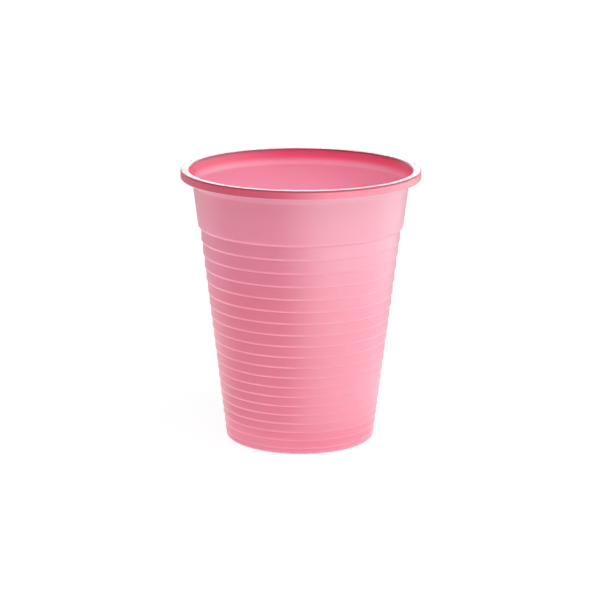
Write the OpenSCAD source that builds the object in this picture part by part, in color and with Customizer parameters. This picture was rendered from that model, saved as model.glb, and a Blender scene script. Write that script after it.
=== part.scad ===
/* [Overall] */
// Height from the foot to the top of the rim
cup_h = 80.7; // [77:0.1:95]
// Outside diameter of the rolled rim
rim_d = 70.3; // [69:0.1:74]
// Diameter of the wall where it would meet the table
foot_d = 43.6; // [38:0.1:50]

/* [Sheet] */
// Thickness of the sheet in the base
base_t = 0.28; // [0.25:0.01:0.45]
// Thickness of the sheet in the stepped wall
wall_t = 0.22; // [0.2:0.01:0.34]
// Thickness of the sheet in the neck and the rim
rim_t = 0.34; // [0.3:0.01:0.42]

/* [Rolled rim] */
// Width of the roll, from the mouth to its outside
roll_w = 2.4; // [2.3:0.05:3]
// Height of the roll
roll_h = 2.7; // [2.3:0.05:3.2]
// Radius over the lip, on the mouth side
lip_round = 0.8; // [0.6:0.05:1.1]
// Radius of the outer corners of the roll
roll_round = 0.55; // [0.5:0.01:0.9]
// Gap between the neck and the tucked end of the roll
tuck_gap = 0.25; // [0.1:0.01:0.4]
// Height of the tucked end, up from the bottom of the roll
tuck_h = 1.3; // [1:0.05:1.6]

/* [Neck and band] */
// Height of the neck, from its bend to the top of the rim
neck_h = 4.6; // [4:0.1:6]
// How far the neck spreads between its bend and the lip
neck_spread = 1.5; // [0.8:0.05:2]
// Radius of the bend at the foot of the neck
neck_round = 1.6; // [0.5:0.1:3]
// Height of the plain band between the neck and the first step
band_h = 12.4; // [6:0.1:20]
// Taper of the plain band, in degrees
band_taper = 7; // [3:0.1:9]
// How far the plain band stands out from the line of the ribs
band_ledge = 0.6; // [0.2:0.05:0.8]

/* [Ribs] */
// Number of steps down the wall, counting the ledge under the band
step_count = 20; // [8:1:24]
// Height of a rib as a share of the rib above it
rib_ratio = 0.971; // [0.95:0.001:0.99]
// Height of the foot under the lowest step
foot_h = 2; // [1.6:0.1:3]
// Height of the slope that makes each step
step_h = 0.5; // [0.3:0.05:0.7]
// Radius of the outer edge of each step
step_round = 0.9; // [0.4:0.05:1.2]
// Radius in the root of each step
root_round = 0.12; // [0.05:0.01:0.3]
// Draft of each rib's face, in degrees
rib_draft = 1.2; // [0:0.1:3]

/* [Base] */
// Radius of the outer edge of the foot
foot_round = 1; // [0.6:0.05:1.3]
// Width of the foot ring at the table, over its rounded edges
ring_w = 2.6; // [2.2:0.1:5]
// Radius of the other corners of the base
base_round = 0.6; // [0.5:0.05:0.9]
// Height of the base panel above the table
panel_h = 1.8; // [1.4:0.1:3]
// Draft of the inside of the foot ring, in degrees
ring_draft = 12; // [4:1:20]
// Diameter of the raised centre of the base
centre_d = 22; // [12:0.5:28]
// How far the centre rises above the base panel
centre_h = 0.6; // [0.2:0.05:1]
// Width of the slope round the raised centre
centre_slope = 1.6; // [1:0.1:2.5]

/* [Hidden] */
$fn = 144;
// Turn between neighbouring points of a rounded corner, in degrees
arc_turn = 14;

// Radius of the outer skin under the lip, at the bend of the neck and at the bottom of the band
neck_r = rim_d / 2 - roll_w + rim_t;
bend_r = neck_r - neck_spread;
band_r = bend_r - band_h * tan(band_taper);

// Heights of the bend and of the ledge under the band
bend_z = cup_h - neck_h;
ledge_z = bend_z - band_h;

// Heights of the steps, counted down from the ledge: each rib is lower than the last
first_rib_h = (ledge_z - foot_h) * (1 - rib_ratio) / (1 - pow(rib_ratio, step_count - 1));
function step_z(k) = ledge_z - first_rib_h * (1 - pow(rib_ratio, k)) / (1 - rib_ratio);

// Straight line that the middles of the ribs follow
function line_r(z) = foot_d / 2 + (band_r - band_ledge - foot_d / 2) * z / ledge_z;

// Radius at height z of the rib that lies under step k
function rib_r(k, z) =
    let (low_z = k < step_count - 1 ? step_z(k + 1) : 0, mid_z = (step_z(k) + low_z) / 2)
    line_r(mid_z) + (z - mid_z) * tan(rib_draft);

// Corners of the outer skin, each as radius, height, rounding and thickness of the sheet
foot_r = rib_r(step_count - 1, 0);
ring_r = foot_r - ring_w;
base_corners = [
    [0, panel_h + centre_h, 0, base_t],
    [(centre_d - centre_slope) / 2, panel_h + centre_h, base_round, base_t],
    [(centre_d + centre_slope) / 2, panel_h, base_round, base_t],
    [ring_r - panel_h * tan(ring_draft), panel_h, base_round, base_t],
    [ring_r, 0, base_round, base_t],
    [foot_r, 0, foot_round, base_t]
];
step_corners = [
    for (k = [step_count - 1:-1:0])
        let (low_z = step_z(k) - step_h / 2, high_z = step_z(k) + step_h / 2)
            for (corner = [
                [rib_r(k, low_z), low_z, root_round, wall_t],
                [k > 0 ? rib_r(k - 1, high_z) : band_r, high_z, step_round, wall_t]
            ]) corner
];
roll_top_z = cup_h - rim_t;
roll_low_z = cup_h - roll_h + rim_t;
roll_r = rim_d / 2 - rim_t;
tuck_r = neck_r + tuck_gap + rim_t;
rim_corners = [
    [bend_r, bend_z, neck_round, rim_t],
    [neck_r, roll_top_z, lip_round - rim_t, rim_t],
    [roll_r, roll_top_z, roll_round - rim_t, rim_t],
    [roll_r, roll_low_z, roll_round - rim_t, rim_t],
    [tuck_r, roll_low_z, roll_round - rim_t, rim_t],
    [tuck_r, cup_h - roll_h + tuck_h, 0, rim_t]
];
corners = concat(base_corners, step_corners, rim_corners);

// Direction from point a to point b, and the same turned a quarter to the left
function along(a, b) = [b.x - a.x, b.y - a.y] / norm([b.x - a.x, b.y - a.y]);
function left(u) = [-u.y, u.x];

// Signed turn of a path at its corner i, in degrees, and how far its rounding reaches
function is_inner(path, i) = i > 0 && i < len(path) - 1;
function turn(path, i) =
    let (u = along(path[i - 1], path[i]), v = along(path[i], path[i + 1]))
    atan2(cross(u, v), u * v);
function reach(path, i) = is_inner(path, i) ? path[i][2] * tan(abs(turn(path, i)) / 2) : 0;

// Share of its rounding that corner i has room for on the straight before corner j
function room(path, i, j) =
    let (wanted = reach(path, i) + reach(path, j), a = path[i], b = path[j])
    wanted > 0 ? min(1, 0.98 * norm([b.x - a.x, b.y - a.y]) / wanted) : 1;

// Points that round corner i of a path, as radius, height and thickness
function rounded(path, i) =
    let (
        p = path[i],
        bend = turn(path, i),
        u = along(path[i - 1], p),
        cut = reach(path, i) * min(room(path, i, i - 1), room(path, i, i + 1)),
        round_r = cut / tan(abs(bend) / 2),
        start = [p.x, p.y] - cut * u,
        hub = start + sign(bend) * round_r * left(u),
        spoke = start - hub,
        count = ceil(abs(bend) / arc_turn)
    )
    [
        for (n = [0:count])
            let (a = bend * n / count)
                [hub.x + spoke.x * cos(a) - spoke.y * sin(a),
                 hub.y + spoke.x * sin(a) + spoke.y * cos(a), p[3]]
    ];

// Outer skin of the cup, from the middle of the base to the tucked end of the rim
skin = [
    for (i = [0:len(corners) - 1])
        let (p = corners[i])
            for (q = is_inner(corners, i) ? rounded(corners, i) : [[p.x, p.y, p[3]]]) q
];

// Point of the other face of the sheet across from point i of the skin
function across(path, i) =
    let (
        last = len(path) - 1,
        m = left(along(path[max(i, 1) - 1], path[max(i, 1)])),
        n = left(along(path[min(i, last - 1)], path[min(i, last - 1) + 1]))
    )
    [path[i].x, path[i].y] + path[i][2] * (m + n) / (1 + m * n);

section = concat(
    [for (p = skin) [p.x, p.y]],
    [for (i = [len(skin) - 1:-1:0]) across(skin, i)]
);

// One thin sheet, drawn into a stepped cup and rolled over at its rim
module cup() {
    color([0.93, 0.55, 0.64])
        rotate_extrude()
            polygon(section);
}

cup();
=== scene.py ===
import math

import bpy
from mathutils import Matrix, Vector

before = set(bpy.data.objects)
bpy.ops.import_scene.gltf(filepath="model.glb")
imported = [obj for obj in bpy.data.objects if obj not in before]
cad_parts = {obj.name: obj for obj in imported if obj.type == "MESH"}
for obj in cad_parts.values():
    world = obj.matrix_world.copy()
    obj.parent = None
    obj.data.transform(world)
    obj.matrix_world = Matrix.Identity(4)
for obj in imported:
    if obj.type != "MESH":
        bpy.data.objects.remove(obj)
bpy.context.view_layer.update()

MM = 0.001

# Camera, as the photograph was taken. The focal length is a share of the frame's width
FOCAL_SHARE = 2365 / 600
SENSOR_W = 36.0
CAMERA_AWAY = 700 * MM
CAMERA_UP_DEG = 13.80
CAMERA_ROLL_DEG = 0.25
CAMERA_CLIP = (0.01, 20.0)
TARGET = Vector((-0.09 * MM, 0, 41.05 * MM))

# Places on the cup: each pair is where a zone begins and where it is complete
RIM_TOP = 80.7 * MM
NECK_BEND = 76.1 * MM
WALL_FADE = (40 * MM, RIM_TOP)
LOW_RIBS_FROM_ABOVE = (9 * MM, 4 * MM)
LOW_RIBS_FROM_BELOW = (1.2 * MM, 2.4 * MM)
STEPS_FROM_BELOW = (1.2 * MM, 2.0 * MM)
STEPS_FADE = (12 * MM, 45 * MM)
NECK_OUTSIDE = (NECK_BEND - 0.1 * MM, NECK_BEND + 0.5 * MM)
NECK_INSIDE = (NECK_BEND + 0.6 * MM, NECK_BEND + 2.6 * MM)
ROLL_RADIUS = (33.3 * MM, 33.8 * MM)
ROLL_HEIGHT = (77.0 * MM, 77.6 * MM)
LIP_HEIGHT = (RIM_TOP - 1.2 * MM, RIM_TOP - 0.7 * MM)
AXIS_GUARD = 1 * MM

# How far a surface faces out from the axis, from -1 to 1, at the start and end of a zone
FACES_IN = (0.2, -0.2)

# How far a surface faces up, from -1 to 1, at the start and end of a zone
STEP_SLOPE = (-0.12, -0.45)
ROLL_FACE = (-0.6, -0.15)
LIP_LEANS = (0.25, 0.5)
LIP_NOT_FLAT = (0.99, 0.94)

# Colours, as written in sRGB; several are painted light and painted shade, marked below
FOOT = (0.885, 0.435, 0.545)
WALL_LOW = (0.875, 0.470, 0.575)
WALL_HIGH = (0.877, 0.563, 0.650)
# Painted light: a paler colour on the down-facing slopes of the steps, where the floor's light
# falls, with less of it towards the foot
STEP_PAINTED_LIGHT = (0.900, 0.565, 0.660)
STEP_LIGHT_SHARE = (0.25, 0.8)
# Painted shade: a duller pink on the outside of the neck, in the shade under the roll
NECK_UNDER_ROLL_SHADE = (0.845, 0.580, 0.660)
# Painted light: a paler colour on every inward face, standing in for the light that comes through
# the sheet
INSIDE_PAINTED_LIGHT = (0.980, 0.650, 0.732)
# Deeper where the sheet is thicker inside the neck, and painted shade where the roll keeps the
# light that comes through the sheet off it
THICK_NECK_AND_SHADE = (0.995, 0.375, 0.520)
# Deeper where the sheet is rolled double, with painted shade on the faces of the roll that do not
# turn down to the floor
DOUBLE_ROLL_AND_SHADE = (0.890, 0.300, 0.430)
# Painted shade: a dark line on the leaning outer edges of the lip, where little light falls
EDGE_PAINTED_SHADE = (0.610, 0.270, 0.340)

# Finish of the sheet: noises as scale and detail
CLOUD_NOISE = (60.0, 3.0)
CLOUD_RANGE = (0.3, 0.7)
ROUGHNESS = (0.29, 0.34)
GRAIN_NOISE = (900.0, 2.0)
GRAIN_STRENGTH = 0.05
GRAIN_DEPTH = 0.05 * MM
SHEET_IOR = 1.59
SHEET_SPECULAR = 1.0
SCATTER_DEPTH = 0.8 * MM
SCATTER_LOST_IN_ROLL = 0.85

# Floor as the camera sees it
FLOOR_SIZE = 6.0
FLOOR_COLOUR = (0.92, 0.92, 0.92, 1)
FLOOR_SEEN = 1.05
GLOW_SHARE = (0.75, 0.85)

# Floor as it lights the cup, by the distance from the axis in metres
BRIGHTER_SIDE = (0.90, -0.35, 0.0)
LIT_SPAN = (0.03, 0.20)
LIT_SWEEP = (-0.9, 0.9)
LIT_NEAR = (1.7, 2.05)
LIT_FAR = 1.10

# Floor in reflections: levels by distance, and how far round from a direction they reach
MIRROR_DIM = 0.1
MIRROR_SPAN = (0.10, 0.36)
SIDE_LEVELS = (2.4, 4.5)
SIDE_SWEEP = (-0.15, 1.0)
SIDE_CLOSE_SPAN = (0.035, 0.065)
SIDE_CLOSE_SHARE = (0.55, 1.07)
FLOOR_BACK = (0, 1, 0)
BACK_LEVELS = (1.1, 0.4)
BACK_SWEEP = (-0.3, 0.5)
RING_RISE = (0.024, 0.036)
RING_LEVELS = (0.9, 1.7)
RING_FALL = (0.041, 0.031)
RING_SWEEP = (0.9, 0.2)
RING_SHARE = (0.2, 1.0)

# Surroundings: levels from front to back, and in reflections towards one direction
WORLD_SEEN = 1.0
WORLD_SWEEP = (-0.4, 0.8)
WORLD_LEVELS = (0.20, 1.10)
WORLD_BRIGHT_SIDE = (0.7, 0.7, 0.0)
WORLD_MIRROR_SWEEP = (-0.5, 0.7)
WORLD_MIRROR_LEVELS = (0.05, 1.2)

# Lamps: name, place, size, level and whether reflections show it
LAMPS = (
    ("top", (0.20, -0.30, 0.90), (0.8, 0.6), 0.97, False),
    ("back", (0.0, 1.2, 0.37), (0.9, 0.25), 0.17, True),
)


def linear(rgb):
    """An sRGB colour as Blender's linear RGBA."""
    return tuple(c / 12.92 if c <= 0.04045 else ((c + 0.055) / 1.055) ** 2.4 for c in rgb) + (1.0,)


class Nodes:
    """Short calls for making and joining a material's nodes."""

    def __init__(self, tree):
        self.tree = tree
        tree.nodes.clear()

    def new(self, kind, **values):
        node = self.tree.nodes.new(kind)
        for name, value in values.items():
            setattr(node, name, value)
        return node

    def join(self, source, target):
        self.tree.links.new(source, target)

    def feed(self, value, socket):
        """Links an output into a socket, or writes a plain value on it."""
        if isinstance(value, bpy.types.NodeSocket):
            self.join(value, socket)
        else:
            socket.default_value = value

    def math(self, operation, *values):
        node = self.new("ShaderNodeMath", operation=operation)
        for value, socket in zip(values, node.inputs):
            self.feed(value, socket)
        return node.outputs[0]

    def times(self, a, b):
        return self.math("MULTIPLY", a, b)

    def ramp(self, value, span, levels=(0.0, 1.0), smooth=True):
        """Value across the span, mapped to the two levels and held beyond them."""
        node = self.new("ShaderNodeMapRange", clamp=True)
        if smooth:
            node.interpolation_type = "SMOOTHSTEP"
        for item, socket in zip((value, *span, *levels), node.inputs):
            self.feed(item, socket)
        return node.outputs[0]

    def mix(self, factor, a, b):
        """Colour a turned into colour b by the factor."""
        node = self.new("ShaderNodeMix", data_type="RGBA")
        for value, socket in zip((factor, a, b), (node.inputs[0], node.inputs[6], node.inputs[7])):
            self.feed(value, socket)
        return node.outputs[2]

    def blend(self, factor, a, b):
        """Number a turned into number b by the factor."""
        node = self.new("ShaderNodeMix", data_type="FLOAT")
        for value, socket in zip((factor, a, b), (node.inputs[0], node.inputs[2], node.inputs[3])):
            self.feed(value, socket)
        return node.outputs[0]

    def parts(self, vector):
        """The x, y and z of a vector."""
        node = self.new("ShaderNodeSeparateXYZ")
        self.join(vector, node.inputs[0])
        return node.outputs[0], node.outputs[1], node.outputs[2]

    def toward(self, vector, way):
        """How far a direction points one way, from -1 to 1."""
        unit = self.new("ShaderNodeVectorMath", operation="NORMALIZE")
        self.join(vector, unit.inputs[0])
        across = self.new("ShaderNodeVectorMath", operation="DOT_PRODUCT")
        self.join(unit.outputs[0], across.inputs[0])
        across.inputs[1].default_value = way
        return across.outputs["Value"]

    def noise(self, vector, scale, detail):
        node = self.new("ShaderNodeTexNoise")
        self.join(vector, node.inputs["Vector"])
        node.inputs["Scale"].default_value = scale
        node.inputs["Detail"].default_value = detail
        return node.outputs[0]

    def finish(self, kind, shader):
        out = self.new(kind)
        self.join(shader.outputs[0], out.inputs[0])


def new_material(name):
    material = bpy.data.materials.new(name)
    material.use_nodes = True
    return material, Nodes(material.node_tree)


def sheet_colour(n, where):
    """Colour of the sheet by its place on the cup, with painted light and painted shade in it, and
    how far that place is on the roll.
    """
    x, y, height = n.parts(where.outputs["Position"])
    face_x, face_y, facing_up = n.parts(where.outputs["Normal"])
    radius = n.math("SQRT", n.math("ADD", n.times(x, x), n.times(y, y)))
    outward = n.math("DIVIDE", n.math("ADD", n.times(x, face_x), n.times(y, face_y)),
                     n.math("MAXIMUM", radius, AXIS_GUARD))
    inside = n.ramp(outward, FACES_IN)

    # Outside: the wall, its lowest ribs, painted light on the down-facing slopes of its steps, and
    # painted shade on the neck under the roll
    colour = n.mix(n.ramp(height, WALL_FADE), linear(WALL_LOW), linear(WALL_HIGH))
    on_low_ribs = n.times(n.ramp(height, LOW_RIBS_FROM_ABOVE), n.ramp(height, LOW_RIBS_FROM_BELOW))
    colour = n.mix(on_low_ribs, colour, linear(FOOT))
    # Painted light: the down-facing step slopes turn paler
    step_light_mask = n.times(n.ramp(facing_up, STEP_SLOPE), n.ramp(height, STEPS_FROM_BELOW))
    step_light_mask = n.times(step_light_mask, n.ramp(height, STEPS_FADE, STEP_LIGHT_SHARE))
    colour = n.mix(step_light_mask, colour, linear(STEP_PAINTED_LIGHT))
    # Painted shade on the outside of the neck under the roll
    colour = n.mix(n.ramp(height, NECK_OUTSIDE), colour, linear(NECK_UNDER_ROLL_SHADE))

    # Inside: the wall, painted lighter as painted light for the light that comes through the
    # sheet, and the neck, deeper where the sheet is thicker and with painted shade under the roll
    # Painted light on the inward faces
    colour = n.mix(inside, colour, linear(INSIDE_PAINTED_LIGHT))
    # Thicker sheet and painted shade on the inside of the neck
    colour = n.mix(n.times(inside, n.ramp(height, NECK_INSIDE)), colour, linear(THICK_NECK_AND_SHADE))

    # Rim: the face of the roll, deeper where the sheet is doubled and with painted shade, and
    # painted shade on the leaning edges of the lip
    on_roll = n.times(n.ramp(radius, ROLL_RADIUS), n.ramp(height, ROLL_HEIGHT))
    # Doubled sheet and painted shade on the face of the roll
    colour = n.mix(n.times(on_roll, n.ramp(facing_up, ROLL_FACE)), colour, linear(DOUBLE_ROLL_AND_SHADE))
    # Painted shade on the lip's leaning edges
    shaded_lip_edge = n.times(n.ramp(facing_up, LIP_LEANS), n.ramp(facing_up, LIP_NOT_FLAT))
    colour = n.mix(n.times(shaded_lip_edge, n.ramp(height, LIP_HEIGHT)), colour, linear(EDGE_PAINTED_SHADE))
    return colour, on_roll


def sheet_material():
    """Pink plastic sheet with a soft gloss, which lets less light through where it is rolled."""
    material, n = new_material("pink_sheet")
    where = n.new("ShaderNodeNewGeometry")
    colour, on_roll = sheet_colour(n, where)
    cloud = n.noise(where.outputs["Position"], *CLOUD_NOISE)
    grain = n.noise(where.outputs["Position"], *GRAIN_NOISE)
    bump = n.new("ShaderNodeBump")
    bump.inputs["Strength"].default_value = GRAIN_STRENGTH
    bump.inputs["Distance"].default_value = GRAIN_DEPTH
    n.join(grain, bump.inputs["Height"])
    bsdf = n.new("ShaderNodeBsdfPrincipled")
    n.join(colour, bsdf.inputs["Base Color"])
    n.join(n.ramp(cloud, CLOUD_RANGE, ROUGHNESS), bsdf.inputs["Roughness"])
    n.join(bump.outputs[0], bsdf.inputs["Normal"])
    bsdf.inputs["IOR"].default_value = SHEET_IOR
    bsdf.inputs["Specular IOR Level"].default_value = SHEET_SPECULAR
    scatter = n.math("MULTIPLY_ADD", on_roll, -SCATTER_LOST_IN_ROLL, 1.0)
    n.join(scatter, bsdf.inputs["Subsurface Weight"])
    bsdf.inputs["Subsurface Radius"].default_value = (1.0, 1.0, 1.0)
    bsdf.inputs["Subsurface Scale"].default_value = SCATTER_DEPTH
    n.finish("ShaderNodeOutputMaterial", bsdf)
    return material


def floor_levels(n, place):
    """Levels at which the floor lights the cup and shows in its gloss."""
    length = n.new("ShaderNodeVectorMath", operation="LENGTH")
    n.join(place, length.inputs[0])
    away = length.outputs["Value"]
    sideward = n.toward(place, BRIGHTER_SIDE)

    side_level = n.ramp(away, MIRROR_SPAN, SIDE_LEVELS)
    side = n.ramp(sideward, SIDE_SWEEP, (MIRROR_DIM, side_level))
    side = n.times(side, n.ramp(away, SIDE_CLOSE_SPAN, SIDE_CLOSE_SHARE))
    back_level = n.ramp(away, MIRROR_SPAN, BACK_LEVELS)
    back = n.ramp(n.toward(place, FLOOR_BACK), BACK_SWEEP, (MIRROR_DIM, back_level))
    ring_level = n.ramp(away, RING_RISE, RING_LEVELS)
    ring = n.ramp(away, RING_FALL, (MIRROR_DIM, ring_level))
    ring = n.times(ring, n.ramp(sideward, RING_SWEEP, RING_SHARE))
    mirrored = n.math("MAXIMUM", n.math("MAXIMUM", side, back), ring)

    near = n.ramp(sideward, LIT_SWEEP, LIT_NEAR)
    lit = n.ramp(away, LIT_SPAN, (near, LIT_FAR))
    return lit, mirrored


def by_ray(n, path, lit, mirrored, seen):
    """Strength by the kind of ray: one that lights, one from the gloss, or the camera's."""
    unseen = n.blend(path.outputs["Is Glossy Ray"], lit, mirrored)
    return n.blend(path.outputs["Is Camera Ray"], unseen, seen)


def add_floor():
    """Plain white floor that keeps a faint shadow."""
    material, n = new_material("floor_white")
    diffuse = n.new("ShaderNodeBsdfDiffuse")
    diffuse.inputs["Color"].default_value = FLOOR_COLOUR
    glow = n.new("ShaderNodeEmission")
    where = n.new("ShaderNodeNewGeometry")
    path = n.new("ShaderNodeLightPath")
    lit, mirrored = floor_levels(n, where.outputs["Position"])
    n.join(by_ray(n, path, lit, mirrored, FLOOR_SEEN), glow.inputs["Strength"])
    mix = n.new("ShaderNodeMixShader")
    n.join(n.ramp(path.outputs["Is Camera Ray"], (0, 1), GLOW_SHARE, smooth=False), mix.inputs[0])
    n.join(diffuse.outputs[0], mix.inputs[1])
    n.join(glow.outputs[0], mix.inputs[2])
    n.finish("ShaderNodeOutputMaterial", mix)
    bpy.ops.mesh.primitive_plane_add(size=FLOOR_SIZE, location=(0, 0, 0))
    floor = bpy.context.active_object
    floor.name = "floor"
    floor.data.materials.append(material)


def add_world():
    """White surroundings, with other levels where they light the cup or show in its gloss."""
    world = bpy.data.worlds.new("studio")
    bpy.context.scene.world = world
    world.use_nodes = True
    n = Nodes(world.node_tree)
    where = n.new("ShaderNodeTexCoord")
    path = n.new("ShaderNodeLightPath")
    direction = where.outputs["Generated"]
    backward = n.parts(direction)[1]
    lit = n.ramp(backward, WORLD_SWEEP, WORLD_LEVELS)
    bright = n.toward(direction, WORLD_BRIGHT_SIDE)
    mirrored = n.ramp(bright, WORLD_MIRROR_SWEEP, WORLD_MIRROR_LEVELS)
    back = n.new("ShaderNodeBackground")
    n.join(by_ray(n, path, lit, mirrored, WORLD_SEEN), back.inputs["Strength"])
    n.finish("ShaderNodeOutputWorld", back)


def add_lamp(name, place, size, level, in_gloss):
    """Soft box that looks at the cup; level is what it adds to a surface that faces it."""
    place, middle = Vector(place), Vector((0, 0, 0.5 * RIM_TOP))
    data = bpy.data.lights.new(name, "AREA")
    data.shape = "RECTANGLE"
    data.size, data.size_y = size
    data.energy = level * math.pi ** 2 * (place - middle).length_squared
    lamp = bpy.data.objects.new(name, data)
    lamp.location = place
    lamp.rotation_mode = "QUATERNION"
    lamp.rotation_quaternion = (middle - place).to_track_quat("-Z", "Y")
    lamp.visible_camera = False
    lamp.visible_glossy = in_gloss
    bpy.context.scene.collection.objects.link(lamp)


def add_camera():
    """Camera on the photograph's line of sight."""
    up, roll = math.radians(CAMERA_UP_DEG), math.radians(CAMERA_ROLL_DEG)
    ahead = Vector((0, math.cos(up), -math.sin(up)))
    right = Vector((1, 0, 0))
    over = right.cross(ahead)
    x = math.cos(roll) * right + math.sin(roll) * over
    y = math.cos(roll) * over - math.sin(roll) * right
    data = bpy.data.cameras.new("camera")
    data.sensor_width = SENSOR_W
    data.lens = FOCAL_SHARE * SENSOR_W
    data.clip_start, data.clip_end = CAMERA_CLIP
    camera = bpy.data.objects.new("camera", data)
    turn = Matrix((x, y, -ahead)).transposed().to_4x4()
    camera.matrix_world = Matrix.Translation(TARGET - CAMERA_AWAY * ahead) @ turn
    bpy.context.scene.collection.objects.link(camera)
    bpy.context.scene.camera = camera


def main():
    bpy.context.scene.view_settings.view_transform = "Standard"
    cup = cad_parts["cup"]
    cup.data.materials.clear()
    cup.data.materials.append(sheet_material())
    add_floor()
    add_world()
    for lamp in LAMPS:
        add_lamp(*lamp)
    add_camera()


main()
